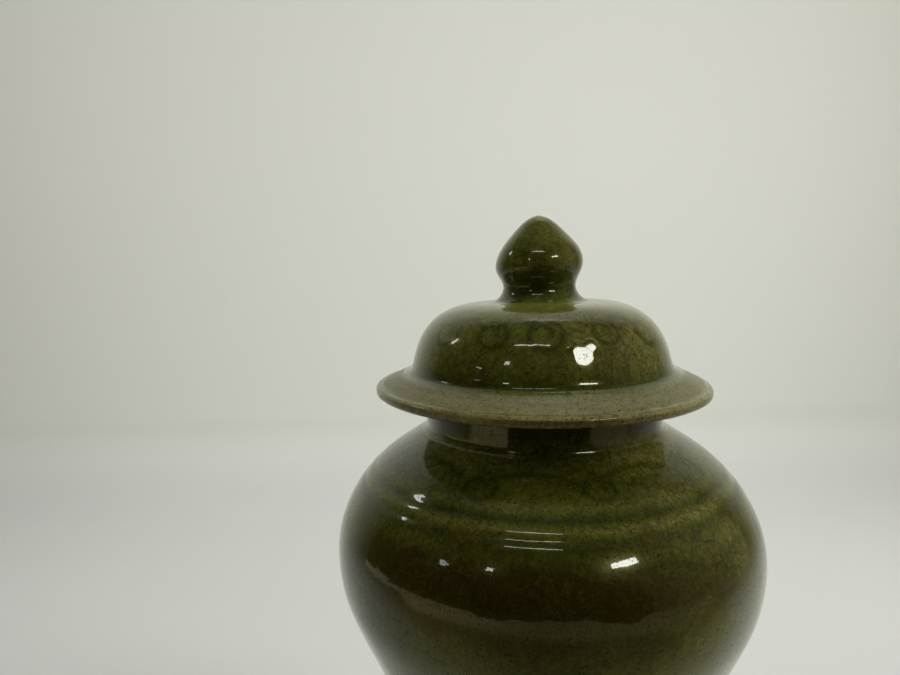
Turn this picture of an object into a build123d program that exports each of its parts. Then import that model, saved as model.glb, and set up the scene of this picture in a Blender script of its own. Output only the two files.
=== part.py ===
from build123d import *
import os

# Ginger jar with a lift-off lid, as one assembly of five turned members.
# Millimetres, +Z up, origin at the centre of the face the foot stands on.

os.makedirs("parts", exist_ok=True)

# ---- jar: outside -----------------------------------------------------
foot_height = 4.0            # bare ring that stands on the table
foot_radius = 28.4           # widest radius of the foot
foot_inner_radius = 21.6     # inside of the ring, around the recessed base
foot_edge_radius = 1.0       # rounded standing edge
foot_top_radius = 28.1       # where the ring meets the jar
waist_radius = 26.2          # narrowest radius of the jar, above the foot
waist_height = 17.0
flank_radius = 33.0          # point on the straight flank
flank_height = 46.0
swell_radius = 41.8          # point where the flank starts to swell
swell_height = 70.0
under_belly_radius = 45.7    # point on the swelling flank
under_belly_height = 79.0
belly_turn_radius = 48.2     # point just below the widest part
belly_turn_height = 87.0
belly_radius = 48.7          # widest radius of the jar
belly_height = 93.2
shoulder_radius = 45.3       # point on the shoulder, below the band
shoulder_height = 105.0
band_radius = 39.5           # point on the shoulder, just above the band
band_height = 112.1
neck_radius = 27.2           # outside of the upright neck
neck_foot_height = 120.6     # where the shoulder meets the neck
neck_fillet = 1.8            # hollow between shoulder and neck
seat_height = 130.0          # top of the neck, where the lid sits
lip_fillet = 0.8             # rounded edges of the neck's top

# ---- jar: grooves that set off the band on the shoulder ----------------
groove_section_radius = 0.9  # radius of the round groove section
groove_low_radius = 42.4
groove_low_height = 109.8
groove_high_radius = 40.0
groove_high_height = 112.4

# ---- jar: inside -------------------------------------------------------
floor_height = 9.5           # top of the floor inside
floor_radius = 15.0          # flat part of the floor
inner_waist_radius = 22.0
inner_waist_height = 20.0
inner_flank_radius = 28.4
inner_flank_height = 47.0
inner_belly_radius = 44.2
inner_belly_height = 92.5
inner_shoulder_radius = 36.2
inner_shoulder_height = 110.0
throat_radius = 23.6         # bore of the neck
throat_height = 118.0        # where the shoulder inside meets the bore

# ---- lid: shell --------------------------------------------------------
flange_radius = 38.2         # widest radius of the flange
flange_edge_radius = 1.15    # half round on the flange's edge
flange_edge_height = 129.5   # height of the middle of that half round
flange_slope_radius = 31.1   # inner end of the flange's top face
flange_slope_height = 133.5
dome_foot_radius = 29.6      # where the hollow above the flange turns up
dome_foot_height = 135.3
seat_outer_radius = 29.6     # outer end of the flat seat under the flange
dome_side_radius = 27.6      # point on the side of the dome
dome_side_height = 141.2
dome_turn_radius = 24.4      # point where the dome turns over
dome_turn_height = 145.3
dome_crown_radius = 19.5     # point on the shallow crown
dome_crown_height = 148.0
dome_flat_radius = 12.0      # flat top that carries the knob
dome_top_height = 149.0

# ---- lid: inside of the dome -------------------------------------------
cave_mouth_radius = 19.6     # opening of the dome, level with the seat
cave_side_radius = 23.8      # widest radius inside
cave_side_height = 137.4
cave_turn_radius = 19.2
cave_turn_height = 143.2
cave_top_height = 144.8

# ---- lid: collar that drops into the neck ------------------------------
collar_clearance = 1.0       # gap all round between collar and bore
collar_wall = 3.0
collar_depth = 8.0
collar_edge_fillet = 0.9

# ---- lid: knob ---------------------------------------------------------
knob_skirt_radius = 11.2     # base of the knob on the dome
knob_waist_radius = 8.3
knob_waist_height = 152.3
knob_under_radius = 9.15     # point on the underside of the bud
knob_under_height = 154.8
knob_radius = 10.05          # widest radius of the bud
knob_height = 157.5
knob_flank_radius = 5.75     # point on the tapering upper side
knob_flank_height = 164.9
knob_tip_height = 168.5


# ---- jar body: one wall from the foot's top to the neck's top ----------
with BuildPart() as jar_body:
    with BuildSketch(Plane.XZ) as jar_section:
        with BuildLine() as jar_outline:
            under = Line((0, foot_height), (foot_top_radius, foot_height))
            flank = Spline(
                under @ 1,
                (waist_radius, waist_height),
                (flank_radius, flank_height),
                (swell_radius, swell_height),
                (under_belly_radius, under_belly_height),
                (belly_turn_radius, belly_turn_height),
                (belly_radius, belly_height),
                tangents=((-0.25, 1), (0, 1)),
            )
            shoulder = Spline(
                flank @ 1,
                (shoulder_radius, shoulder_height),
                (band_radius, band_height),
                (neck_radius, neck_foot_height),
                tangents=((0, 1), (-1, 0.7)),
            )
            neck = Line(shoulder @ 1, (neck_radius, seat_height))
            rim = Line(neck @ 1, (throat_radius, seat_height))
            bore = Line(rim @ 1, (throat_radius, throat_height))
            inner_shoulder = Spline(
                bore @ 1,
                (inner_shoulder_radius, inner_shoulder_height),
                (inner_belly_radius, inner_belly_height),
                tangents=((1, -0.45), (0, -1)),
            )
            inner_flank = Spline(
                inner_shoulder @ 1,
                (inner_flank_radius, inner_flank_height),
                (inner_waist_radius, inner_waist_height),
                (floor_radius, floor_height),
                tangents=((0, -1), (-1, 0)),
            )
            floor = Line(inner_flank @ 1, (0, floor_height))
            axis_line = Line(floor @ 1, under @ 0)
        make_face()
        corner = jar_section.vertices().sort_by_distance((neck_radius, neck_foot_height))
        fillet(corner[0], neck_fillet)
        lips = jar_section.vertices().group_by(Axis.Y)[-1]
        fillet(lips, lip_fillet)
    revolve(axis=Axis.Z)
    with BuildSketch(Plane.XZ) as grooves:
        with Locations(
            (groove_low_radius, groove_low_height),
            (groove_high_radius, groove_high_height),
        ):
            Circle(groove_section_radius)
    revolve(axis=Axis.Z, mode=Mode.SUBTRACT)

# ---- foot ring: bare clay, turned at the bottom ------------------------
with BuildPart() as foot_ring:
    with BuildSketch(Plane.XZ) as foot_section:
        with BuildLine() as foot_outline:
            stand = Line((foot_inner_radius, 0), (foot_radius, 0))
            outside = Line(stand @ 1, (foot_top_radius, foot_height))
            joint = Line(outside @ 1, (foot_inner_radius, foot_height))
            inside = Line(joint @ 1, stand @ 0)
        make_face()
        standing_edges = foot_section.vertices().group_by(Axis.Y)[0]
        fillet(standing_edges, foot_edge_radius)
    revolve(axis=Axis.Z)

# ---- lid shell: flange and dome in one ---------------------------------
with BuildPart() as lid_shell:
    with BuildSketch(Plane.XZ) as lid_section:
        with BuildLine() as lid_outline:
            edge_center = flange_radius - flange_edge_radius
            seat = Line((cave_mouth_radius, seat_height), (seat_outer_radius, seat_height))
            flange_under = Line(
                seat @ 1, (edge_center, flange_edge_height - flange_edge_radius)
            )
            flange_edge = ThreePointArc(
                flange_under @ 1,
                (flange_radius, flange_edge_height),
                (edge_center, flange_edge_height + flange_edge_radius),
            )
            flange_top = Line(flange_edge @ 1, (flange_slope_radius, flange_slope_height))
            dome_side = Spline(
                flange_top @ 1,
                (dome_foot_radius, dome_foot_height),
                (dome_side_radius, dome_side_height),
                (dome_turn_radius, dome_turn_height),
                (dome_crown_radius, dome_crown_height),
                tangents=((-1, 0.48), (-1, 0.32)),
            )
            dome_crown = Spline(
                dome_side @ 1,
                (dome_flat_radius, dome_top_height),
                tangents=((-1, 0.32), (-1, 0)),
            )
            dome_flat = Line(dome_crown @ 1, (0, dome_top_height))
            lid_axis = Line(dome_flat @ 1, (0, cave_top_height))
            cave = Spline(
                lid_axis @ 1,
                (cave_turn_radius, cave_turn_height),
                (cave_side_radius, cave_side_height),
                seat @ 0,
                tangents=((1, 0), (-0.6, -1)),
            )
        make_face()
    revolve(axis=Axis.Z)

# ---- lid collar: locating ring that drops into the neck ----------------
with BuildPart() as lid_collar:
    with BuildSketch(Plane.XZ) as collar_section:
        with BuildLine() as collar_outline:
            collar_radius = throat_radius - collar_clearance
            top = Line((collar_radius - collar_wall, seat_height), (collar_radius, seat_height))
            out_side = Line(top @ 1, (collar_radius, seat_height - collar_depth))
            bottom = Line(out_side @ 1, (collar_radius - collar_wall, seat_height - collar_depth))
            in_side = Line(bottom @ 1, top @ 0)
        make_face()
        collar_edges = collar_section.vertices().group_by(Axis.Y)[0]
        fillet(collar_edges, collar_edge_fillet)
    revolve(axis=Axis.Z)

# ---- lid finial: pointed bud on a waisted stem -------------------------
with BuildPart() as lid_finial:
    with BuildSketch(Plane.XZ) as knob_section:
        with BuildLine() as knob_outline:
            knob_base = Line((0, dome_top_height), (knob_skirt_radius, dome_top_height))
            stem = Spline(
                knob_base @ 1,
                (knob_waist_radius, knob_waist_height),
                (knob_under_radius, knob_under_height),
                (knob_radius, knob_height),
                tangents=((-1, 0.2), (0, 1)),
            )
            bud = Spline(
                stem @ 1,
                (knob_flank_radius, knob_flank_height),
                (0, knob_tip_height),
                tangents=((0, 1), (-1, 0)),
            )
            knob_axis = Line(bud @ 1, knob_base @ 0)
        make_face()
    revolve(axis=Axis.Z)

jar_body.part.label = "jar_body"
foot_ring.part.label = "foot_ring"
lid_shell.part.label = "lid_shell"
lid_collar.part.label = "lid_collar"
lid_finial.part.label = "lid_finial"

export_step(jar_body.part, "parts/jar_body.step")
export_step(foot_ring.part, "parts/foot_ring.step")
export_step(lid_shell.part, "parts/lid_shell.step")
export_step(lid_collar.part, "parts/lid_collar.step")
export_step(lid_finial.part, "parts/lid_finial.step")
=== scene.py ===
"""Ginger jar with a lift-off lid: glazed stoneware turned about Z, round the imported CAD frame."""

import math

import bpy
import numpy as np
from mathutils import Matrix, Vector, kdtree


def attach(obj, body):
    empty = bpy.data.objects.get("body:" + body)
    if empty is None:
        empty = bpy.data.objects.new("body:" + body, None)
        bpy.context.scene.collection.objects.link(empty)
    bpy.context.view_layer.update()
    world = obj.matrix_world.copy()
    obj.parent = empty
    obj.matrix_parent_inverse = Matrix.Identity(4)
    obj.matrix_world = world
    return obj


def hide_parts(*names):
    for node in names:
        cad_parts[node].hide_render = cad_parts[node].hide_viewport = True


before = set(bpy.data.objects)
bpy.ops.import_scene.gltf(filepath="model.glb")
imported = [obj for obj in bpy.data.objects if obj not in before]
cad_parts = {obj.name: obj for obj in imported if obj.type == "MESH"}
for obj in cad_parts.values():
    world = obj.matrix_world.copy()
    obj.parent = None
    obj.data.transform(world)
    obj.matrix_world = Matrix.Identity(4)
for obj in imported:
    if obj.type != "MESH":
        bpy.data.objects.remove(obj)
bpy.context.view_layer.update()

MM = 0.001
AROUND = 640  # faces round the jar and the lid
AROUND_SMALL = 360  # faces round the foot, the collar and the knob
TURN = 2 * math.pi
LONG = 200  # a pitch, in millimetres, that no section here is long enough to show
PAINTED = ("pool_and_shading", "line", "bare", "pale", "iron_and_shade")


# ---- curves of a turned section, in millimetres as (radius, height) ----
def smooth(points, start, end, spacing):
    """Rows on one smooth curve through the points, leaving along start and arriving along end.

    spacing is the distance between rows, one for the whole curve or one for each span.
    """
    knots = np.array(points, float)
    spans = np.linalg.norm(np.diff(knots, axis=0), axis=1)
    last = len(knots) - 1
    system = np.zeros((last + 1, last + 1))
    known = np.zeros((last + 1, 2))
    system[0, 0] = system[last, last] = 1
    known[0] = np.array(start) / np.linalg.norm(start)
    known[last] = np.array(end) / np.linalg.norm(end)
    for i in range(1, last):
        before, after = spans[i - 1], spans[i]
        system[i, i - 1 : i + 2] = after, 2 * (before + after), before
        known[i] = 3 * (
            after * (knots[i] - knots[i - 1]) / before
            + before * (knots[i + 1] - knots[i]) / after
        )
    slopes = np.linalg.solve(system, known)
    rows = [tuple(knots[0])]
    steps = np.broadcast_to(spacing, last)
    for i, span in enumerate(spans):
        for t in np.linspace(0, 1, max(1, round(span / steps[i])) + 1)[1:]:
            point = (
                (2 * t**3 - 3 * t**2 + 1) * knots[i]
                + (t**3 - 2 * t**2 + t) * span * slopes[i]
                + (3 * t**2 - 2 * t**3) * knots[i + 1]
                + (t**3 - t**2) * span * slopes[i + 1]
            )
            rows.append(tuple(point))
    return rows


def straight(start, end, count):
    """Rows on a straight run of count steps, with both of its ends."""
    return [tuple(p) for p in np.linspace(start, end, count + 1)]


def arc(centre, radius, first, last, count):
    """Rows on a circular arc between two angles in degrees."""
    return [
        (centre[0] + radius * math.cos(a), centre[1] + radius * math.sin(a))
        for a in np.radians(np.linspace(first, last, count + 1))
    ]


def section(*runs):
    """Joins runs end to end and drops the repeated points."""
    rows = []
    for run in runs:
        for point in run:
            if not rows or math.dist(rows[-1], point) > 1e-4:
                rows.append(point)
    return np.array(rows)


def lengths(rows):
    """Distance along the section to each row."""
    return np.concatenate([[0], np.cumsum(np.linalg.norm(np.diff(rows, axis=0), axis=1))])


def place(rows, height, above_radius=0.0):
    """Distance along the section to its first point at this height and outside this radius."""
    along = lengths(rows)
    for i in range(len(rows) - 1):
        low, high = sorted((rows[i][1], rows[i + 1][1]))
        if low <= height <= high and high > low and rows[i][0] >= above_radius:
            share = (height - rows[i][1]) / (rows[i + 1][1] - rows[i][1])
            return along[i] + share * (along[i + 1] - along[i])
    raise ValueError(f"the section never reaches {height}")


class Turned:
    """A turned surface with relief: a grid of points with outward directions and painted values."""

    def __init__(self, rows, around=AROUND, ring=False):
        self.rows = rows
        self.around = around
        self.ring = ring
        self.along = lengths(rows)
        if ring:
            tangent = np.roll(rows, -1, 0) - np.roll(rows, 1, 0)
        else:
            tangent = np.gradient(rows, axis=0)
        tangent /= np.linalg.norm(tangent, axis=1, keepdims=True) + 1e-12
        self.out = np.stack([tangent[:, 1], -tangent[:, 0]], 1)
        self.angle = np.arange(around) * TURN / around
        shape = (len(rows), around)
        self.lift = np.zeros(shape)
        self.drop = np.zeros(shape)
        self.values = {name: np.zeros(shape) for name in PAINTED}

    def points(self):
        """Every grid point, in millimetres, with its relief."""
        radius = self.rows[:, :1] + self.out[:, :1] * self.lift
        height = self.rows[:, 1:] + self.out[:, 1:] * self.lift - self.drop
        return np.stack(
            [radius * np.cos(self.angle), radius * np.sin(self.angle), height], -1
        )

    def bands(self, *marks):
        """Rings round the piece: (value name, centre along the section, width, amount)."""
        for name, centre, width, amount in marks:
            bell = np.exp(-(((self.along - centre) / width) ** 2))[:, None] * amount
            if name == "lift":
                self.lift += bell
            else:
                self.values[name] += bell

    def incise(self, trail, width, depth, tone):
        """Cuts a line along trail, points of (angle, distance along the section)."""
        radius = np.interp(trail[:, 1], self.along, self.rows[:, 0])
        height = np.interp(trail[:, 1], self.along, self.rows[:, 1])
        tree = kdtree.KDTree(len(trail))
        for i, (angle, r, z) in enumerate(zip(trail[:, 0], radius, height)):
            tree.insert((r * math.cos(angle), r * math.sin(angle), z), i)
        tree.balance()
        low, high = trail[:, 1].min() - 3 * width, trail[:, 1].max() + 3 * width
        near = np.flatnonzero((self.along > low) & (self.along < high))
        grid = self.points()
        for row in near:
            gap = np.array([tree.find(p)[2] for p in grid[row]])
            bell = np.exp(-((gap / width) ** 2))
            self.lift[row] -= depth * bell
            self.values["line"][row] = np.maximum(self.values["line"][row], tone * bell)

    def press(self, azimuth, lean, spots):
        """Flattens small places to one facet, which faces azimuth and leans back by lean.

        Each spot is (angle, distance along the section, reach), with angles in
        radians; the facet goes through the middle of the first.
        """
        facing = np.array(
            [
                math.cos(lean) * math.cos(azimuth),
                math.cos(lean) * math.sin(azimuth),
                math.sin(lean),
            ]
        )
        grid = self.points()
        clear = 1.0
        middles = []
        for angle, along, reach in spots:
            radius = np.interp(along, self.along, self.rows[:, 0])
            height = np.interp(along, self.along, self.rows[:, 1])
            middles.append(
                np.array([radius * math.cos(angle), radius * math.sin(angle), height])
            )
            away = np.linalg.norm(grid - middles[-1], axis=2) / reach
            clear = clear * (1 - np.exp(-(away**6)))
        self.lift += (1 - clear) * ((middles[0] - grid) @ facing)

    def build(self, name, material, shift=(0.0, 0.0)):
        """Makes the closed mesh object, in metres, with shift (x, y) in millimetres."""
        grid = self.points() + np.array([*shift, 0.0])
        column = np.arange(self.around)
        after = np.roll(column, -1)

        def belt(low, high):
            """The faces between two rows of points."""
            low, high = low * self.around, high * self.around
            return np.stack([low + column, low + after, high + after, high + column], 1)

        if self.ring:
            count = len(self.rows)
            points = grid.reshape(-1, 3)
            faces = np.concatenate([belt(i, (i + 1) % count) for i in range(count)]).tolist()
            values = {key: value.reshape(-1) for key, value in self.values.items()}
        else:
            # the first and last rows shrink to one point each, on the axis
            inner = grid[1:-1].reshape(-1, 3)
            poles = grid[[0, -1], 0].copy()
            poles[:, :2] = shift
            points = np.concatenate([inner, poles])
            last_row = len(self.rows) - 3
            faces = np.concatenate([belt(i, i + 1) for i in range(last_row)]).tolist()
            start, end, top = len(inner), len(inner) + 1, last_row * self.around
            pairs = list(zip(column.tolist(), after.tolist()))
            faces += [[start, b, a] for a, b in pairs]
            faces += [[end, top + a, top + b] for a, b in pairs]
            values = {
                key: np.concatenate([value[1:-1].reshape(-1), value[[0, -1], 0]])
                for key, value in self.values.items()
            }
        mesh = bpy.data.meshes.new(name)
        mesh.from_pydata((points * MM).tolist(), [], faces)
        mesh.update()
        for key, value in values.items():
            layer = mesh.attributes.new(key, "FLOAT", "POINT")
            layer.data.foreach_set("value", value.astype(np.float32))
        mesh.polygons.foreach_set("use_smooth", [True] * len(mesh.polygons))
        mesh.materials.append(material)
        piece = bpy.data.objects.new(name, mesh)
        bpy.context.scene.collection.objects.link(piece)
        return piece


def around_place(surface, angle, width):
    """A bell round the piece: 1 at this angle, fading over this width, both in radians."""
    apart = np.angle(np.exp(1j * (surface.angle - angle)))
    return np.exp(-((apart / width) ** 2))


def ripple(surface, waves, seed):
    """Slow hand-made unevenness, from waves of (count round, pitch along the section, size).

    A wave with no count round is a set of plain throwing rings, and a pitch of
    LONG or more leaves out the change along the section.
    """
    rng = np.random.default_rng(seed)
    along = surface.along[:, None]
    for around, pitch, size in waves:
        phase, lean = rng.uniform(0, TURN, 2)
        wave = np.sin(around * surface.angle + phase + 0.6 * np.sin(along / pitch + lean))
        swell = np.sin(TURN * along / pitch + lean + 0.8 * np.sin(surface.angle + phase))
        surface.lift += size * (wave if around else 1.0) * (swell if pitch < LONG else 1.0)


def curls(count, centre, size, radius, seed, start=0.0):
    """A border of hand-cut curls under arches, as (angle, distance along the section)."""
    rng = np.random.default_rng(seed)
    pitch = TURN / count
    parts = []
    for k in range(count):
        middle = (k + start + rng.uniform(-0.06, 0.06)) * pitch
        big = size * rng.uniform(0.85, 1.12)
        up = centre + rng.uniform(-0.12, 0.12) * size
        turn = np.linspace(rng.uniform(-0.6, 0.3), rng.uniform(7.4, 8.6), 120)
        reach = big * np.clip(0.42 + 0.1 * turn, 0, 1.0)
        parts.append(
            np.stack(
                [middle + reach * np.cos(turn) / radius, up + reach * np.sin(turn)], 1
            )
        )
        sweep = np.linspace(-0.4, 0.4, 60) * rng.uniform(0.9, 1.1)
        rise = up + big * (1.15 - 5.0 * sweep**2)
        parts.append(np.stack([middle + (sweep + 0.42) * pitch, rise], 1))
    return np.concatenate(parts)


# ---- shader helpers ------------------------------------------------------
class Nodes:
    """Short calls for one material's node tree."""

    def __init__(self, tree):
        self.tree = tree
        self.links = tree.links

    def put(self, kind, **settings):
        node = self.tree.nodes.new(kind)
        for key, value in settings.items():
            setattr(node, key, value)
        return node

    def feed(self, socket, value):
        if isinstance(value, bpy.types.NodeSocket):
            self.links.new(value, socket)
        else:
            socket.default_value = value

    def math(self, operation, a, b=0.0, c=0.0, clamp=False):
        node = self.put("ShaderNodeMath", operation=operation, use_clamp=clamp)
        for socket, value in zip(node.inputs, (a, b, c)):
            self.feed(socket, value)
        return node.outputs[0]

    def span(self, value, low, high, out_low=0.0, out_high=1.0, soft=False):
        node = self.put("ShaderNodeMapRange")
        node.interpolation_type = "SMOOTHSTEP" if soft else "LINEAR"
        for socket, setting in zip(node.inputs, (value, low, high, out_low, out_high)):
            self.feed(socket, setting)
        return node.outputs[0]

    def blend(self, share, a, b, mode="MIX"):
        node = self.put("ShaderNodeMix", data_type="RGBA", blend_type=mode)
        self.feed(node.inputs[0], share)
        self.feed(node.inputs[6], a)
        self.feed(node.inputs[7], b)
        return node.outputs[2]

    def noise(self, where, scale, detail=2.0, rough=0.5, twist=0.0):
        node = self.put("ShaderNodeTexNoise")
        self.feed(node.inputs["Vector"], where)
        for key, value in (
            ("Scale", scale),
            ("Detail", detail),
            ("Roughness", rough),
            ("Distortion", twist),
        ):
            node.inputs[key].default_value = value
        return node.outputs[0]

    def cells(self, where, scale, feature="F1", jitter=1.0):
        node = self.put("ShaderNodeTexVoronoi", feature=feature)
        self.feed(node.inputs["Vector"], where)
        node.inputs["Scale"].default_value = scale
        node.inputs["Randomness"].default_value = jitter
        return node

    def stretched(self, where, scale):
        node = self.put("ShaderNodeMapping")
        self.feed(node.inputs["Vector"], where)
        node.inputs["Scale"].default_value = scale
        return node.outputs[0]

    def painted(self, name):
        node = self.put("ShaderNodeAttribute", attribute_name=name)
        return node.outputs["Fac"]


def new_material(name):
    material = bpy.data.materials.new(name)
    material.use_nodes = True
    tree = material.node_tree
    tree.nodes.clear()
    nodes = Nodes(tree)
    shader = nodes.put("ShaderNodeBsdfPrincipled")
    output = nodes.put("ShaderNodeOutputMaterial")
    nodes.links.new(shader.outputs[0], output.inputs[0])
    return material, nodes, shader


def millimetres(nodes):
    """Object coordinates scaled to millimetres."""
    where = nodes.put("ShaderNodeTexCoord").outputs["Object"]
    return nodes.stretched(where, (1 / MM,) * 3)


def clay_colour(nodes, where):
    """Buff stoneware with iron specks and a little soil in its pits."""
    mottle = nodes.noise(where, 0.35, 4, 0.6)
    colour = nodes.blend(
        nodes.span(mottle, 0.3, 0.7), (0.23, 0.15, 0.085, 1), (0.36, 0.26, 0.16, 1)
    )
    specks = nodes.cells(where, 0.8).outputs["Distance"]
    dark = nodes.span(specks, 0.1, 0.2, 0.75, 0.0)
    return nodes.blend(dark, colour, (0.05, 0.028, 0.014, 1))


# the glaze's colour from where it is thin to where it pools
GLAZE_TONES = (
    (0.0, (0.190, 0.152, 0.060, 1)),
    (0.25, (0.105, 0.096, 0.023, 1)),
    (0.5, (0.0585, 0.060, 0.0070, 1)),
    (0.75, (0.031, 0.0355, 0.0032, 1)),
    (1.0, (0.013, 0.018, 0.0015, 1)),
)
IRON_BROWN = (0.017, 0.009, 0.0006, 1)
DUSTY_LIGHT = (0.112, 0.106, 0.054, 1)
DUSTY_DARK = (0.078, 0.068, 0.028, 1)
SPECK_INK = (0.008, 0.007, 0.002, 1)
CRACK_INK = (0.012, 0.012, 0.003, 1)
# iron specks: cells per millimetre, size in cells, share of cells left clean, darkness
SPECKS = ((0.6, 0.18, 0.66, 0.9), (1.2, 0.3, 0.52, 0.85), (2.4, 0.45, 0.5, 0.7))


def glaze_tone(nodes, where, fine, pool_and_shading, line):
    """Colour by thickness: slow drifts and runs, on top of where the glaze pools; the same pool
    value also carries painted shade and painted light.
    """
    drift = nodes.noise(where, 0.03, 3, 0.55, 0.4)
    runs = nodes.noise(nodes.stretched(where, (1, 1, 0.28)), 0.35, 4, 0.6, 0.3)
    thick = nodes.math("MULTIPLY_ADD", drift, 0.8, -0.6)
    thick = nodes.math("MULTIPLY_ADD", runs, 0.3, thick)
    thick = nodes.math("MULTIPLY_ADD", fine, 1.1, thick)
    thick = nodes.math("ADD", thick, pool_and_shading)
    thick = nodes.math("MULTIPLY_ADD", line, 0.75, thick)
    ramp = nodes.put("ShaderNodeValToRGB")
    while len(ramp.color_ramp.elements) < len(GLAZE_TONES):
        ramp.color_ramp.elements.new(0.5)
    for element, (position, colour) in zip(ramp.color_ramp.elements, GLAZE_TONES):
        element.position = position
        element.color = colour
    nodes.feed(ramp.inputs[0], thick)
    return ramp.outputs[0]


def iron_brown(nodes, where, fine, colour, iron_and_shade):
    """Adds warm brown: in clouds, and where iron is painted, which on the belt is partly painted
    shade.
    """
    clouds = nodes.noise(where, 0.055, 2, 0.5, 0.8)
    brown = nodes.span(clouds, 0.48, 0.68, 0.0, 0.5, soft=True)
    brown = nodes.math("MULTIPLY_ADD", iron_and_shade, nodes.span(clouds, 0.08, 0.4), brown, clamp=True)
    brown = nodes.math("MULTIPLY", brown, nodes.span(fine, 0.38, 0.58, 0.6, 1.0))
    return nodes.blend(brown, colour, IRON_BROWN)


def specks(nodes, where, colour):
    """Adds iron specks; returns the colour, and how far each point lies in a speck."""
    pits = 0.0
    for scale, size, clean, ink in SPECKS:
        cell = nodes.cells(where, scale)
        keep = nodes.math("GREATER_THAN", cell.outputs["Color"], clean)
        spot = nodes.span(cell.outputs["Distance"], size * 0.45, size, ink, 0.0)
        spot = nodes.math("MULTIPLY", spot, keep)
        colour = nodes.blend(spot, colour, SPECK_INK)
        pits = nodes.math("MAXIMUM", pits, spot)
    return colour, pits


def crackle(nodes, where, colour, pale):
    """Adds fine cracks, mostly upright, in patches; the dry pale glaze has none."""
    bent = nodes.put("ShaderNodeVectorMath", operation="ADD")
    nodes.feed(bent.inputs[0], nodes.stretched(where, (1, 1, 0.45)))
    nodes.feed(bent.inputs[1], nodes.noise(where, 0.4, 2, 0.5))
    gap = nodes.cells(bent.outputs[0], 0.36, "DISTANCE_TO_EDGE").outputs["Distance"]
    patchy = nodes.span(nodes.noise(where, 0.06, 2, 0.5), 0.34, 0.52, 0.0, 0.6, soft=True)
    cracks = nodes.math("MULTIPLY", nodes.span(gap, 0.0, 0.06, 1.0, 0.0), patchy)
    cracks = nodes.math("MULTIPLY", cracks, nodes.math("SUBTRACT", 1.0, pale), clamp=True)
    return nodes.blend(cracks, colour, CRACK_INK)


def glaze_skin(nodes, shader, where, bare):
    """The glaze's own relief: slow waves and orange peel, and grit on the bare clay."""
    height = nodes.math("MULTIPLY", nodes.noise(where, 0.16, 2, 0.5), 0.035)
    height = nodes.math("MULTIPLY_ADD", nodes.noise(where, 0.9, 2, 0.5), 0.006, height)
    grit = nodes.math("MULTIPLY", nodes.noise(where, 3.0, 3, 0.6), bare)
    height = nodes.math("MULTIPLY_ADD", grit, 0.05, height)
    bump = nodes.put("ShaderNodeBump")
    bump.inputs["Strength"].default_value = 1.0
    bump.inputs["Distance"].default_value = MM
    nodes.feed(bump.inputs["Height"], height)
    nodes.feed(shader.inputs["Normal"], bump.outputs[0])
    nodes.feed(shader.inputs["Coat Normal"], bump.outputs[0])


def make_glaze():
    """Celadon glaze under a clear coat; the painted values thin, colour, dull or remove it, and
    some also carry painted shade and painted light.
    """
    material, nodes, shader = new_material("celadon_glaze")
    where = millimetres(nodes)
    pool_and_shading, line, bare, pale, iron_and_shade = (nodes.painted(name) for name in PAINTED)
    fine = nodes.noise(where, 0.9, 5, 0.75)

    colour = glaze_tone(nodes, where, fine, pool_and_shading, line)
    colour = iron_brown(nodes, where, fine, colour, iron_and_shade)
    dusty = nodes.blend(nodes.span(fine, 0.38, 0.62), DUSTY_LIGHT, DUSTY_DARK)
    colour = nodes.blend(pale, colour, dusty)
    colour, pits = specks(nodes, where, colour)
    colour = crackle(nodes, where, colour, pale)
    colour = nodes.blend(bare, colour, clay_colour(nodes, where))
    nodes.feed(shader.inputs["Base Color"], colour)

    # rougher where it is pale or bare, and in slow smears
    gloss = nodes.span(nodes.noise(where, 0.09, 3, 0.5), 0.3, 0.7, 0.17, 0.27)
    rough = nodes.math("MULTIPLY_ADD", bare, 0.6, gloss)
    rough = nodes.math("MULTIPLY_ADD", pale, 0.22, rough, clamp=True)
    nodes.feed(shader.inputs["Roughness"], rough)

    # the coat is full on sound glaze, thin on pale glaze, none on clay, and specks break it
    coat = nodes.math("MULTIPLY_ADD", pale, -0.45, 0.68)
    coat = nodes.math("MULTIPLY", coat, nodes.math("SUBTRACT", 1.0, bare), clamp=True)
    skin_whole = nodes.math("MULTIPLY_ADD", pits, -0.75, 1.0)
    coat = nodes.math("MULTIPLY", coat, skin_whole)
    nodes.feed(shader.inputs["Coat Weight"], coat)
    level = nodes.math("MULTIPLY", skin_whole, 0.5)
    nodes.feed(shader.inputs["Specular IOR Level"], level)
    for socket, value in (
        ("IOR", 1.27),
        ("Specular Tint", (0.9, 0.9, 0.3, 1)),
        ("Coat Roughness", 0.03),
        ("Coat IOR", 1.5),
        ("Sheen Weight", 0.1),
        ("Sheen Roughness", 0.45),
        ("Sheen Tint", (0.62, 0.68, 0.15, 1)),
    ):
        shader.inputs[socket].default_value = value
    glaze_skin(nodes, shader, where, bare)
    return material


def make_clay():
    """Unglazed buff clay, dull and grainy."""
    material, nodes, shader = new_material("bare_clay")
    where = millimetres(nodes)
    nodes.feed(shader.inputs["Base Color"], clay_colour(nodes, where))
    wear = nodes.noise(where, 0.2, 3, 0.5)
    nodes.feed(shader.inputs["Roughness"], nodes.span(wear, 0.3, 0.7, 0.72, 0.92))
    shader.inputs["IOR"].default_value = 1.5
    grain = nodes.noise(where, 2.2, 5, 0.65)
    bump = nodes.put("ShaderNodeBump")
    bump.inputs["Strength"].default_value = 1.0
    bump.inputs["Distance"].default_value = MM
    nodes.feed(bump.inputs["Height"], nodes.math("MULTIPLY", grain, 0.12))
    nodes.feed(shader.inputs["Normal"], bump.outputs[0])
    return material


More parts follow.
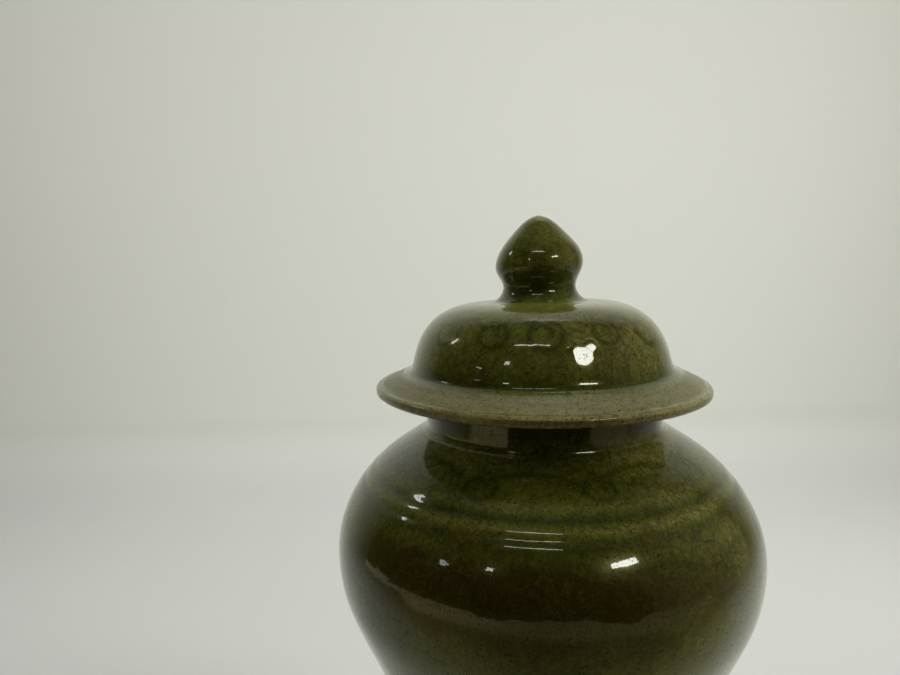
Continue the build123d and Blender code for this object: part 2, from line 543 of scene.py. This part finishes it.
def make_paper():
    """Pale paper: greyer flat on the table than standing up, and darker far to each side as painted
    shade, a falloff of light.
    """
    material, nodes, shader = new_material("pale_board")
    where = nodes.put("ShaderNodeTexCoord").outputs["Object"]
    split = nodes.put("ShaderNodeSeparateXYZ")
    nodes.feed(split.inputs[0], where)
    up = nodes.span(split.outputs[2], 0.0, 0.06, 0.0, 1.0, soft=True)
    aside = nodes.math("ABSOLUTE", split.outputs[0])
    far = nodes.span(aside, 0.36, 0.8, 0.0, 0.65, soft=True)
    colour = nodes.blend(up, (0.50, 0.505, 0.478, 1), (0.80, 0.81, 0.755, 1))
    colour = nodes.blend(far, colour, (0.2, 0.2, 0.18, 1))
    nodes.feed(shader.inputs["Base Color"], colour)
    shader.inputs["Roughness"].default_value = 0.75
    return material


def make_flag(name, glow, foot):
    """Dark sheet standing in for the room's shade; glow is its painted light towards +X, foot that
    of its ragged lower edge, both glowing though no lamp.
    """
    material, nodes, shader = new_material(name)
    shader.inputs["Base Color"].default_value = (0.012, 0.010, 0.007, 1)
    shader.inputs["Roughness"].default_value = 0.9
    where = nodes.put("ShaderNodeTexCoord").outputs["Object"]
    split = nodes.put("ShaderNodeSeparateXYZ")
    nodes.feed(split.inputs[0], where)
    x = split.outputs[0]
    shader.inputs["Emission Color"].default_value = (1.0, 0.92, 0.6, 1)
    strength = nodes.span(x, 0.25, 0.62, 0.0, glow, soft=True)
    aside = nodes.math("ABSOLUTE", x)
    edge = nodes.math("MULTIPLY_ADD", aside, 0.08, split.outputs[2])
    edge = nodes.math("MULTIPLY_ADD", nodes.noise(where, 14.0, 3), 0.03, edge)
    low = nodes.span(edge, 0.098, 0.106, foot, 0.0, soft=True)
    low = nodes.math("MULTIPLY", low, nodes.span(x, -0.4, -0.1, 1.8, 1.0))
    nodes.feed(shader.inputs["Emission Strength"], nodes.math("MAXIMUM", strength, low))
    return material


GLAZE = make_glaze()
CLAY = make_clay()

# ---- sizes and (radius, height) points in millimetres, following the CAD -------
FOOT_RADIUS, FOOT_INNER, FOOT_HEIGHT, FOOT_EDGE = 28.4, 21.6, 4.0, 1.0
FOOT_TOP, WAIST, FLANK, SWELL = (28.1, FOOT_HEIGHT), (26.2, 17.0), (33.0, 46.0), (41.8, 70.0)
UNDER_BELLY, BELLY_TURN, BELLY = (45.7, 79.0), (48.2, 87.0), (48.7, 93.2)
SHOULDER, BAND = (45.3, 105.0), (39.5, 112.1)
NECK_FOOT = (27.97, 120.06)  # where the shoulder runs into the hollow below the neck
NECK_RADIUS, NECK_START, NECK_FILLET = 27.2, 121.54, 1.8
THROAT_RADIUS, THROAT_START = 23.6, 118.0
INNER_SHOULDER, INNER_BELLY = (36.2, 110.0), (44.2, 92.5)
INNER_FLANK, INNER_WAIST = (28.4, 47.0), (22.0, 20.0)
FLOOR_RADIUS, FLOOR_HEIGHT = 15.0, 9.5
SEAT = 130.0  # top of the neck, where the lid sits
LIP = 0.8  # rounding of the neck's top

CAVE_TOP, CAVE_TURN, CAVE_SIDE = (0, 144.8), (19.2, 143.2), (23.8, 137.4)
CAVE_MOUTH = 19.6  # opening of the hollow dome, level with the seat
SEAT_OUTER, FLANGE_WIDTH = 29.6, 8.6  # outer end of the seat, and from there to the edge
EDGE, EDGE_RADIUS, EDGE_HEIGHT = 1.15, 37.05, 129.5  # half round on the flange's edge
SLOPE_END = (30.7, 133.69)  # the flange's top face ends here
DOME_START = 134.0  # what is lower belongs to the flange
DOME_FOOT, DOME_LOW, DOME_SIDE = (29.85, 134.75), (29.4, 136.2), (27.6, 141.2)
DOME_TURN, CROWN, CROWN_END = (24.4, 145.3), (19.5, 148.0), (12.2, 148.98)
DOME_TOP = 149.0
LUTING, LUTING_END = (10.9, 149.2), (9.6, DOME_TOP)  # faint ring where the knob was stuck on

COLLAR_RADIUS, COLLAR_WALL, COLLAR_FOOT, COLLAR_EDGE = 22.6, 3.0, 122.0, 0.9

SKIRT, KNOB_WAIST, KNOB_UNDER = (11.2, DOME_TOP), (8.3, 152.3), (9.15, 154.8)
BUD, KNOB_FLANK, KNOB_TIP = (10.05, 157.5), (5.75, 164.9), (0, 168.5)

# directions from the axis: towards the front left the glaze is browner with painted shade, towards
# the front right lighter with painted light
FRONT_LEFT, FRONT_RIGHT = math.radians(255), math.radians(312)

# ---- jar: up the outside, over the lip and down the inside ------------------
jar_rows = section(
    straight((0, FOOT_HEIGHT), FOOT_TOP, 5),
    smooth(
        [FOOT_TOP, WAIST, FLANK, SWELL, UNDER_BELLY, BELLY_TURN, BELLY],
        (-0.25, 1),
        (0, 1),
        (2.6, 6.0, 4.0, 1.2, 0.9, 0.8),
    ),
    smooth([BELLY, SHOULDER, BAND, NECK_FOOT], (0, 1), (-1, 0.7), (0.75, 0.5, 0.66)),
    arc((NECK_RADIUS + NECK_FILLET, NECK_START), NECK_FILLET, 235, 180, 4),
    straight((NECK_RADIUS, NECK_START), (NECK_RADIUS, SEAT - LIP), 6),
    arc((NECK_RADIUS - LIP, SEAT - LIP), LIP, 0, 90, 4),
    straight((NECK_RADIUS - LIP, SEAT), (THROAT_RADIUS + LIP, SEAT), 2),
    arc((THROAT_RADIUS + LIP, SEAT - LIP), LIP, 90, 180, 4),
    straight((THROAT_RADIUS, SEAT - LIP), (THROAT_RADIUS, THROAT_START), 3),
    smooth(
        [(THROAT_RADIUS, THROAT_START), INNER_SHOULDER, INNER_BELLY],
        (1, -0.45),
        (0, -1),
        3.5,
    ),
    smooth(
        [INNER_BELLY, INNER_FLANK, INNER_WAIST, (FLOOR_RADIUS, FLOOR_HEIGHT)],
        (0, -1),
        (-1, 0),
        (6.0, 6.0, 2.5),
    ),
    straight((FLOOR_RADIUS, FLOOR_HEIGHT), (0, FLOOR_HEIGHT), 3),
)
jar = Turned(jar_rows)
low_groove = place(jar_rows, 109.5, 41)
high_groove = place(jar_rows, 112.0, 36)
jar.bands(
    ("lift", low_groove, 0.9, -0.17),
    ("lift", high_groove, 1.0, -0.12),
    # the glaze pools in the grooves and is thin on the edges beside them
    ("pool_and_shading", low_groove - 0.9, 1.6, 0.3),
    ("pool_and_shading", high_groove + 0.1, 0.9, 0.35),
    ("pool_and_shading", place(jar_rows, 110.4, 36), 1.0, -0.2),
    ("pool_and_shading", place(jar_rows, 113.6, 30), 1.1, -0.08),
    # shoulder, hollow below the neck, neck, underside of the belly, foot; the neck's dark band is
    # painted shade under the flange, and the extra darkness on the belly's underside is painted
    # shade
    ("pool_and_shading", place(jar_rows, 115.0, 30), 2.6, 0.06),
    ("pool_and_shading", place(jar_rows, 119.3, 29), 2.0, -0.12),
    ("pool_and_shading", place(jar_rows, 126.0, 27), 3.0, 0.9),
    ("pool_and_shading", place(jar_rows, 84.0, 40), 10.0, 0.3),
    ("pool_and_shading", place(jar_rows, 6.0, 26), 2.5, 0.3),
)
# a dark belt above the belly, browner towards the front left: partly iron brown in the glaze,
# partly painted shade
front_left_brown_and_shade = around_place(jar, FRONT_LEFT, 0.85)
dark_belt = np.exp(-(((jar.along - place(jar_rows, 100.0, 44)) / 7.5) ** 2))[:, None]
jar.values["iron_and_shade"] += dark_belt * (0.15 + 1.3 * front_left_brown_and_shade)
jar.values["pool_and_shading"] += dark_belt * (0.05 + 0.35 * front_left_brown_and_shade)
# painted light: the glaze is made lighter towards the front right
jar.values["pool_and_shading"] -= 0.16 * around_place(jar, FRONT_RIGHT, 0.5)
# bare clay from the lip inwards
lip_start = place(jar_rows, 129.2, 27)
jar.values["bare"] += np.clip((jar.along - lip_start) / 0.8, 0, 1)[:, None]
# faint borders of curls: one on the shoulder, two on the belly
shoulder_mid = place(jar_rows, 115.9, 30)
belly_high = place(jar_rows, 101.5, 46)
belly_low = place(jar_rows, 91.5, 46)
jar.incise(curls(9, shoulder_mid, 3.6, 33.0, 5), 0.62, 0.012, 0.42)
jar.incise(curls(13, belly_high, 3.4, 46.5, 9), 0.6, 0.03, 0.3)
jar.incise(curls(11, belly_low, 3.4, 48.6, 10), 0.6, 0.03, 0.3)
ripple(jar, ((2, 2 * LONG, 0.10), (3, 90.0, 0.06), (0, 9.0, 0.012)), 11)
jar_piece = jar.build("jar_glazed", GLAZE)
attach(jar_piece, "jar")
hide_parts("jar_body")

# ---- foot ring ---------------------------------------------------------------
foot_rows = section(
    straight((FOOT_INNER + FOOT_EDGE, 0.0), (FOOT_RADIUS - FOOT_EDGE, 0.0), 4),
    arc((FOOT_RADIUS - FOOT_EDGE, FOOT_EDGE), FOOT_EDGE, -90, 0, 5),
    straight((FOOT_RADIUS, FOOT_EDGE), FOOT_TOP, 4),
    straight(FOOT_TOP, (FOOT_INNER, FOOT_HEIGHT), 4),
    straight((FOOT_INNER, FOOT_HEIGHT), (FOOT_INNER, FOOT_EDGE), 4),
    arc((FOOT_INNER + FOOT_EDGE, FOOT_EDGE), FOOT_EDGE, 180, 270, 5),
)[:-1]
foot = Turned(foot_rows, AROUND_SMALL, ring=True)
foot_piece = foot.build("foot_ring_clay", CLAY)
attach(foot_piece, "jar")
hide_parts("foot_ring")

# ---- lid: out along the inside, round the flange and up to the dome's top -----
LID_SHIFT = (-0.65, 0.0)  # the loose lid sits a little off the jar's axis
FLANGE_DROOP = 0.4  # how far the flange's edge sinks towards +X and rises towards -X
lid_rows = section(
    smooth(
        [CAVE_TOP, CAVE_TURN, CAVE_SIDE, (CAVE_MOUTH, SEAT)],
        (1, 0),
        (-0.6, -1),
        (5.0, 1.5, 1.5),
    ),
    straight((CAVE_MOUTH, SEAT), (SEAT_OUTER, SEAT), 5),
    straight((SEAT_OUTER, SEAT), (EDGE_RADIUS, EDGE_HEIGHT - EDGE), 6),
    arc((EDGE_RADIUS, EDGE_HEIGHT), EDGE, -82, 82, 14),
    straight((EDGE_RADIUS, EDGE_HEIGHT + EDGE), SLOPE_END, 14),
    smooth(
        [SLOPE_END, DOME_FOOT, DOME_LOW, DOME_SIDE, DOME_TURN, CROWN],
        (-1, 0.48),
        (-1, 0.32),
        (0.23, 0.25, 0.34, 0.24, 0.25),
    ),
    smooth([CROWN, CROWN_END], (-1, 0.32), (-1, 0.04), 0.6),
    smooth([CROWN_END, LUTING, LUTING_END], (-1, 0.04), (-1, -0.3), 0.35),
    straight(LUTING_END, (0, DOME_TOP), 2),
)
lid = Turned(lid_rows)
loops_mid = place(lid_rows, 143.9, 24)
dome_foot = place(lid_rows, 134.2, 28)
ring_mark = place(lid_rows, 132.3, 31)
rim_mid = place(lid_rows, EDGE_HEIGHT, 37)
lid.bands(
    ("lift", ring_mark, 0.35, -0.10),
    ("pool_and_shading", ring_mark, 0.4, 0.35),
    ("pool_and_shading", dome_foot, 1.6, 0.4),
    # the glaze is thin and pale on the flange's edge, with a fine line round it
    ("pool_and_shading", rim_mid, 2.0, -0.5),
    ("pale", rim_mid, 1.4, 0.4),
    ("lift", rim_mid - 0.1, 0.3, -0.12),
    ("pool_and_shading", rim_mid - 0.1, 0.35, 0.3),
    ("pool_and_shading", rim_mid + 1.5, 0.3, 0.35),
)
# dry pale glaze on top of the flange, bare clay on the seat and inside
flange_start, flange_end = place(lid_rows, 130.8, 36), place(lid_rows, 133.2, 30)
on_flange = np.clip((lid.along - flange_start) / 0.6, 0, 1)
on_flange *= np.clip((flange_end - lid.along) / 1.2, 0, 1)
lid.values["pale"] += 0.9 * on_flange[:, None]
# painted light: the lid's glaze is made lighter towards the front right
lid.values["pool_and_shading"] -= 0.08 * around_place(lid, FRONT_RIGHT, 0.5)
under_end = place(lid_rows, 129.2, 31)
lid.values["bare"] += np.clip((under_end - lid.along) / 3.0, 0, 1)[:, None]
lid.incise(curls(14, loops_mid, 3.6, 25.5, 3, 0.317), 0.6, 0.01, 0.5)
ripple(lid, ((3, 2 * LONG, 0.05), (5, 30.0, 0.05), (0, 6.0, 0.006)), 12)
# a place on the dome that a thumb pressed flat
lid.press(
    math.radians(280.2),
    math.radians(20.7),
    (
        (math.radians(279.7), place(lid_rows, 139.4, 25), 2.3),
        (math.radians(277.9), place(lid_rows, 141.1, 25), 1.8),
        (math.radians(283.3), place(lid_rows, 141.5, 25), 1.75),
    ),
)
outward = np.clip((lid.rows[:, :1] - SEAT_OUTER) / FLANGE_WIDTH, 0, 1)
on_flange_rows = lid.rows[:, 1:] < DOME_START
lid.drop += np.where(on_flange_rows, FLANGE_DROOP * outward * np.cos(lid.angle), 0)
lid_piece = lid.build("lid_glazed", GLAZE, LID_SHIFT)
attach(lid_piece, "lid")
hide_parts("lid_shell")

# ---- collar ------------------------------------------------------------------
COLLAR_INNER = COLLAR_RADIUS - COLLAR_WALL
COLLAR_TURN = COLLAR_FOOT + COLLAR_EDGE  # height of the middle of its rounded edges
collar_rows = section(
    arc((COLLAR_INNER + COLLAR_EDGE, COLLAR_TURN), COLLAR_EDGE, 180, 270, 5),
    arc((COLLAR_RADIUS - COLLAR_EDGE, COLLAR_TURN), COLLAR_EDGE, -90, 0, 5),
    straight((COLLAR_RADIUS, COLLAR_TURN), (COLLAR_RADIUS, SEAT), 6),
    straight((COLLAR_RADIUS, SEAT), (COLLAR_INNER, SEAT), 3),
    straight((COLLAR_INNER, SEAT), (COLLAR_INNER, COLLAR_TURN), 6),
)[:-1]
collar = Turned(collar_rows, AROUND_SMALL, ring=True)
collar_piece = collar.build("lid_collar_clay", CLAY, LID_SHIFT)
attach(collar_piece, "lid")
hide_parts("lid_collar")

# ---- knob ----------------------------------------------------------------------
KNOB_SHIFT = (-0.4, 0.0)  # the knob was stuck on a hair off the lid's middle
KNOB_LEAN = 0.055  # rise towards +X for each millimetre of radius, round the bud
knob_rows = section(
    straight((0, DOME_TOP), SKIRT, 5),
    smooth([SKIRT, KNOB_WAIST, KNOB_UNDER, BUD], (-1, 0.2), (0, 1), 0.25),
    smooth([BUD, KNOB_FLANK, KNOB_TIP], (0, 1), (-1, 0), 0.3),
)
knob = Turned(knob_rows, AROUND_SMALL)
knob.bands(
    ("pool_and_shading", place(knob_rows, 158.0), 9.0, 0.15),
    ("pool_and_shading", place(knob_rows, 152.0), 1.6, 0.1),
    ("pool_and_shading", place(knob_rows, 157.8), 1.5, -0.25),
    ("pool_and_shading", place(knob_rows, 168.2), 1.5, -0.3),
)
ripple(knob, ((2, 100.0, 0.08), (3, 20.0, 0.04)), 13)
leaning = np.exp(-(((knob.rows[:, 1:] - 158.5) / 5.0) ** 2))
knob.drop -= KNOB_LEAN * knob.rows[:, :1] * leaning * np.cos(knob.angle)
knob_piece = knob.build("lid_knob", GLAZE, KNOB_SHIFT)
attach(knob_piece, "lid")
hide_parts("lid_finial")


# ---- stage: table, board behind, dark flag in front --------------------------
def add_mesh(name, points, faces, material):
    """A stage object from points in metres."""
    mesh = bpy.data.meshes.new(name)
    mesh.from_pydata(points, [], faces)
    mesh.polygons.foreach_set("use_smooth", [True] * len(mesh.polygons))
    mesh.materials.append(material)
    thing = bpy.data.objects.new(name, mesh)
    bpy.context.scene.collection.objects.link(thing)
    return thing


def strip(name, low_points, high_points, material):
    """A stage sheet between two rows of as many points."""
    count = len(low_points)
    faces = [(i, i + 1, i + 1 + count, i + count) for i in range(count - 1)]
    return add_mesh(name, low_points + high_points, faces, material)


# the table runs up into the board behind the jar in one curve
WALL_Y, COVE, WALL_TOP, HALF_WIDTH, TABLE_FRONT = 0.285, 0.05, 1.1, 2.8, -2.5
cove = [(TABLE_FRONT, 0.0)]
cove += [
    (WALL_Y - COVE + COVE * math.sin(a), COVE - COVE * math.cos(a))
    for a in np.linspace(0, math.pi / 2, 13)
]
cove.append((WALL_Y, WALL_TOP))
left_side, right_side = ([(x, y, z) for y, z in cove] for x in (-HALF_WIDTH, HALF_WIDTH))
strip("table_and_board", right_side, left_side, make_paper())

# dark sheet in a wide arc round the front, where the room is unlit, glowing a little as painted
# light
FLAG_RADIUS, FLAG_FOOT, FLAG_TOP, FLAG_TURN = 0.62, 0.002, 0.95, 107
flag_low, flag_high = (
    [
        (FLAG_RADIUS * math.sin(a), -FLAG_RADIUS * math.cos(a), z)
        for a in np.radians(np.linspace(-FLAG_TURN, FLAG_TURN, 49))
    ]
    for z in (FLAG_FOOT, FLAG_TOP)
)
flag = strip("flag", flag_low, flag_high, make_flag("dark_flag", 0.2, 0.33))
flag.visible_camera = False

# the dark shape of whoever takes the picture, seen only in the glaze
CARD_Y = -0.125
card_edge = (  # x, lower edge, upper edge
    (-0.094, 0.092, 0.114),
    (-0.080, 0.084, 0.130),
    (-0.066, 0.088, 0.145),
    (-0.055, 0.085, 0.215),
    (-0.042, 0.091, 0.230),
    (-0.030, 0.089, 0.235),
    (-0.015, 0.094, 0.235),
    (0.0, 0.092, 0.235),
    (0.015, 0.095, 0.235),
    (0.033, 0.088, 0.230),
    (0.044, 0.088, 0.210),
    (0.058, 0.083, 0.145),
    (0.087, 0.092, 0.121),
)
card_low = [(x, CARD_Y, low) for x, low, high in card_edge]
card_high = [(x, CARD_Y, high) for x, low, high in card_edge]
card = strip("near_flag", card_low, card_high, make_flag("near_cloth", 0.0, 0.0))
card.visible_camera = False
card.visible_diffuse = False
card.visible_shadow = False


def make_shade():
    """What the glaze sees of the table in front: painted shade on a wedge, and painted light far
    off, an even warm grey glow.
    """
    material, nodes, shader = new_material("soft_shade")
    where = nodes.put("ShaderNodeTexCoord").outputs["Object"]
    split = nodes.put("ShaderNodeSeparateXYZ")
    nodes.feed(split.inputs[0], where)
    x, y = split.outputs[0], split.outputs[1]
    # slant is how far aside a point is for each metre that it lies to the front
    across = nodes.math("ABSOLUTE", nodes.math("ADD", x, -0.05))
    slant = nodes.math("DIVIDE", across, nodes.math("MULTIPLY", y, -1.0))
    near = nodes.span(y, -0.07, -0.15, 0.0, 1.0, soft=True)
    wedge = nodes.math("MULTIPLY", nodes.span(slant, 0.5, 1.6, 0.55, 0.0, soft=True), near)
    away = nodes.put("ShaderNodeVectorMath", operation="LENGTH")
    nodes.feed(away.inputs[0], where)
    far = nodes.span(away.outputs["Value"], 0.2, 0.38, 0.0, 0.9, soft=True)
    far = nodes.math("MULTIPLY", far, near)
    glow = nodes.span(x, -0.4, -0.08, 0.8, 0.42, soft=True)
    nodes.feed(shader.inputs["Emission Strength"], nodes.math("MULTIPLY", far, glow))
    shader.inputs["Emission Color"].default_value = (1.0, 0.9, 0.5, 1)
    shader.inputs["Base Color"].default_value = (0.05, 0.04, 0.02, 1)
    shader.inputs["Roughness"].default_value = 0.9
    # the rest of the sheet is clear, and only warms what is seen through it, a painted warm tint on
    # the table's reflection
    clear = nodes.put("ShaderNodeBsdfTransparent")
    warm = nodes.span(y, -0.12, 0.02, 1.0, 0.0, soft=True)
    nodes.feed(clear.inputs["Color"], nodes.blend(warm, (1, 1, 1, 1), (0.88, 0.8, 0.42, 1)))
    mixed = nodes.put("ShaderNodeMixShader")
    nodes.feed(mixed.inputs[0], nodes.math("MAXIMUM", wedge, far))
    nodes.links.new(clear.outputs[0], mixed.inputs[1])
    nodes.links.new(shader.outputs[0], mixed.inputs[2])
    output = next(n for n in nodes.tree.nodes if n.type == "OUTPUT_MATERIAL")
    nodes.links.new(mixed.outputs[0], output.inputs[0])
    return material


SHADE_HALF, SHADE_BACK, SHADE_HEIGHT = 0.62, 0.1, 0.001
shade = strip(
    "table_shade",
    [(x, -SHADE_HALF, SHADE_HEIGHT) for x in (-SHADE_HALF, SHADE_HALF)],
    [(x, SHADE_BACK, SHADE_HEIGHT) for x in (-SHADE_HALF, SHADE_HALF)],
    make_shade(),
)
shade.visible_camera = False
shade.visible_shadow = False


def softbox(name, where, target, size, power):
    """A flat rectangular lamp at where, facing target, that the camera doesn't see."""
    lamp = bpy.data.lights.new(name, "AREA")
    lamp.shape = "RECTANGLE"
    lamp.size, lamp.size_y = size
    lamp.energy = power
    thing = bpy.data.objects.new(name, lamp)
    bpy.context.scene.collection.objects.link(thing)
    thing.location = where
    back = (Vector(where) - Vector(target)).normalized()
    side = Vector((0, 0, 1)).cross(back).normalized()
    turn = Matrix((side, back.cross(side), back)).transposed()
    thing.rotation_euler = turn.to_euler()
    thing.visible_camera = False
    return thing


# lamps that show only as highlights
JAR_MIDDLE = (0, 0, 0.12)
for name, where, size, power in (  # metres and watts
    ("key", (0.305, -0.445, 0.435), (0.165, 0.044), 0.6),
    ("tube", (-0.075, -0.30, 0.55), (0.24, 0.014), 0.15),
    ("window", (-0.29, -0.41, 0.38), (0.04, 0.03), 0.05),
    ("left_window", (-0.39, 0.12, 0.42), (0.03, 0.06), 0.06),
    ("left_lamp", (-0.43, -0.25, 0.31), (0.05, 0.008), 0.008),
):
    softbox(name, where, JAR_MIDDLE, size, power).visible_diffuse = False
# lamps that light the scene and don't show in the glaze
for name, where, target, size, power, spread in (
    ("top", (0.12, 0.03, 1.0), (0.02, 0.02, 0.0), (0.5, 0.3), 3.8, 180),
    ("wash", (-0.12, -0.2, 1.0), (-0.1, 0.285, 0.22), (1.4, 0.05), 0.7, 50),
    ("right", (0.5, -0.05, 0.42), JAR_MIDDLE, (0.3, 0.3), 0.85, 90),
    ("left", (-0.5, -0.02, 0.42), JAR_MIDDLE, (0.3, 0.3), 0.3, 90),
):
    lamp = softbox(name, where, target, size, power)
    lamp.data.spread = math.radians(spread)
    lamp.visible_glossy = False

# a dim room for the jar, and a pale backdrop for what the camera sees past the board
world = bpy.data.worlds.new("room")
bpy.context.scene.world = world
world.use_nodes = True
world.node_tree.nodes.clear()
world_nodes = Nodes(world.node_tree)
room, backdrop = (world_nodes.put("ShaderNodeBackground") for _ in range(2))
room.inputs[0].default_value = (0.87, 0.88, 0.83, 1)
room.inputs[1].default_value = 0.1
backdrop.inputs[0].default_value = (0.64, 0.65, 0.6, 1)
either = world_nodes.put("ShaderNodeMixShader")
seen = world_nodes.put("ShaderNodeLightPath").outputs["Is Camera Ray"]
world_nodes.feed(either.inputs[0], seen)
world_nodes.feed(either.inputs[1], room.outputs[0])
world_nodes.feed(either.inputs[2], backdrop.outputs[0])
world_out = world_nodes.put("ShaderNodeOutputWorld")
world_nodes.feed(world_out.inputs[0], either.outputs[0])

# ---- camera ---------------------------------------------------------------
EYE = (-0.02135, -0.1487, 0.1581)  # metres
SENSOR, LENS = 36.0, 25.6  # millimetres
LOOK_DOWN, ROLL = 6.57, -1.5  # degrees
camera_data = bpy.data.cameras.new("camera")
camera_data.sensor_width = SENSOR
camera_data.lens = LENS
camera = bpy.data.objects.new("camera", camera_data)
bpy.context.scene.collection.objects.link(camera)
camera.matrix_world = (
    Matrix.Translation(EYE)
    @ Matrix.Rotation(math.radians(90 - LOOK_DOWN), 4, "X")
    @ Matrix.Rotation(math.radians(ROLL), 4, "Z")
)
bpy.context.scene.camera = camera
bpy.context.scene.view_settings.view_transform = "Standard"
